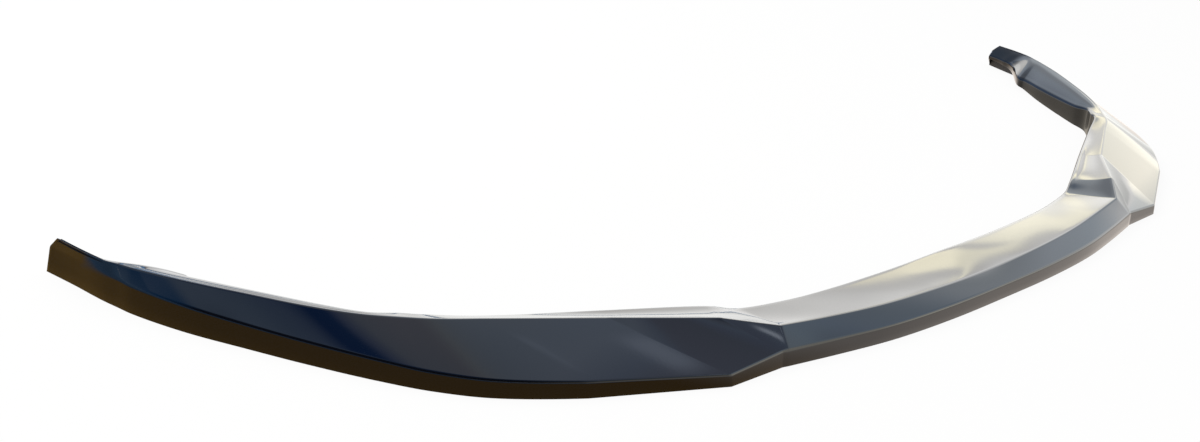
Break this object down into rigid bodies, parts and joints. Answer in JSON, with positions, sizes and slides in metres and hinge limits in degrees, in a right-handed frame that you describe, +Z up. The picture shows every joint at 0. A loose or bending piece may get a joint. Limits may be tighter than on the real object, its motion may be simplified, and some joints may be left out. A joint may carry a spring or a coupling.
{
  "type": "front bumper splitter lip",
  "caption": "Wide moulded front lip, shallow U in plan, with sloped face, raised folded corners, flanged side arms and an open underside.",
  "frame": {"origin": "centre of the box that holds the lip, at its base, on the middle plane of the lip", "axes": "+X across the lip from one arm tip to the other, -Y the front as fitted, +Z up"},
  "size_m": [1.8, 0.628, 0.0479],
  "materials": {
    "lip": "gloss black paint on injection moulded plastic"
  },
  "bodies": {
    "root": {"splitter_lip": "lip"}
  },
  "joints": []
}
